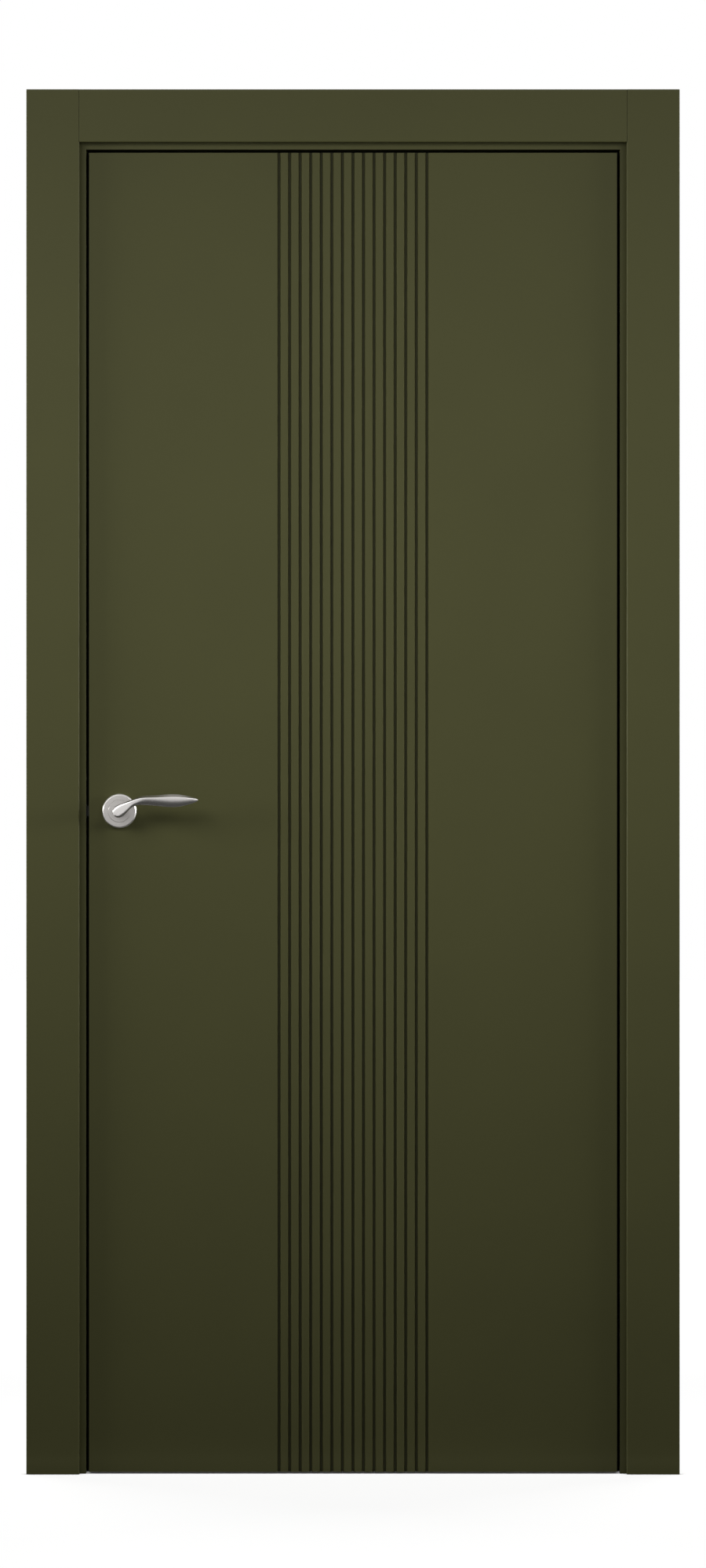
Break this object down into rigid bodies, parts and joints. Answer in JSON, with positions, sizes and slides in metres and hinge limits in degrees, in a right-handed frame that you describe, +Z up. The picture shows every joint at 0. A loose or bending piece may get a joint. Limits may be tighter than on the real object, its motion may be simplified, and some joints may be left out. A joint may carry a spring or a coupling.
{
  "type": "interior doorset",
  "caption": "Interior doorset: flush leaf with a centred band of upright grooves, lever handle, latch, concealed hinges, rebated lining and flat casings, made to be fixed in a wall opening.",
  "frame": {"origin": "on the floor, in the middle of the doorway, on the mid plane of the leaf thickness", "axes": "+X to the right seen from the pull side, towards the hinges; +Y away from the pull side; +Z up"},
  "size_m": [0.989, 0.1472, 2.0975],
  "materials": {
    "olive_enamel": "satin",
    "pine_timber": "matte",
    "chipboard": "matte",
    "satin_nickel": "satin",
    "zinc_plated_steel": "satin",
    "black_steel": "satin",
    "black_rubber": "matte",
    "black_plastic": "matte"
  },
  "bodies": {
    "frame": {"latch_jamb": "olive_enamel", "hinge_jamb": "olive_enamel", "head_jamb": "olive_enamel", "front_casing_latch_side": "olive_enamel", "front_casing_hinge_side": "olive_enamel", "front_casing_head": "olive_enamel", "rear_casing_latch_side": "olive_enamel", "rear_casing_hinge_side": "olive_enamel", "rear_casing_head": "olive_enamel", "seal_latch_side": "black_rubber", "seal_hinge_side": "black_rubber", "seal_head": "black_rubber", "frame_corner_screws": "zinc_plated_steel", "strike_plate": "satin_nickel", "strike_box": "black_plastic", "strike_screws": "zinc_plated_steel", "upper_hinge_frame_housing": "black_steel", "lower_hinge_frame_housing": "black_steel", "hinge_frame_pins": "black_steel", "hinge_frame_screws": "zinc_plated_steel"},
    "leaf": {"leaf_front_skin": "olive_enamel", "leaf_back_skin": "olive_enamel", "hinge_edge_band": "olive_enamel", "latch_edge_band": "olive_enamel", "leaf_hinge_stile": "pine_timber", "leaf_latch_stile": "pine_timber", "leaf_top_rail": "pine_timber", "leaf_bottom_rail": "pine_timber", "leaf_lock_block": "pine_timber", "leaf_core": "chipboard", "upper_hinge_leaf_housing": "black_steel", "lower_hinge_leaf_housing": "black_steel", "hinge_leaf_pins": "black_steel", "hinge_leaf_screws": "zinc_plated_steel", "latch_case": "zinc_plated_steel", "latch_faceplate": "satin_nickel", "latch_screws": "zinc_plated_steel", "latch_spring": "zinc_plated_steel", "front_rose_base": "zinc_plated_steel", "rear_rose_base": "zinc_plated_steel", "front_rose_cover": "satin_nickel", "rear_rose_cover": "satin_nickel", "rose_screws": "zinc_plated_steel"},
    "handle": {"spindle": "zinc_plated_steel", "latch_follower": "zinc_plated_steel", "front_lever": "satin_nickel", "rear_lever": "satin_nickel", "lever_grub_screws": "zinc_plated_steel"},
    "latch": {"latch_bolt": "black_plastic"},
    "frame_arms": {"upper_hinge_frame_arm": "black_steel", "lower_hinge_frame_arm": "black_steel"},
    "leaf_arms": {"upper_hinge_leaf_arm": "black_steel", "lower_hinge_leaf_arm": "black_steel", "hinge_elbow_pins": "black_steel"}
  },
  "joints": [
    {"name": "leaf_swing", "type": "hinge", "parent": "frame", "child": "leaf", "pos_m": [0.40225, -0.02, 1], "axis": [0, 0, 1], "range_deg": [0, 105]},
    {"name": "handle_turn", "type": "hinge", "parent": "leaf", "child": "handle", "pos_m": [-0.354, 0, 1.0045], "axis": [0, 1, 0], "range_deg": [0, 35], "stiffness_Nm_per_rad": 2, "springref_deg": -20.05},
    {"name": "latch_slide", "type": "slide", "parent": "leaf", "child": "latch", "axis": [1, 0, 0], "range_m": [0, 0.012], "deforming": ["latch_spring"]},
    {"name": "frame_arm_turn", "type": "hinge", "parent": "frame", "child": "frame_arms", "pos_m": [0.41025, -0.005, 1], "axis": [0, 0, 1], "range_deg": [0, 105]},
    {"name": "leaf_arm_turn", "type": "hinge", "parent": "leaf", "child": "leaf_arms", "pos_m": [0.39425, -0.005, 1], "axis": [0, 0, 1], "range_deg": [-105, 0]}
  ],
  "couplings": [
    {"joint": "latch_slide", "follows": "handle_turn", "m_per_rad": 0.0196},
    {"joint": "frame_arm_turn", "follows": "leaf_swing", "ratio": 1},
    {"joint": "leaf_arm_turn", "follows": "leaf_swing", "ratio": -1}
  ]
}
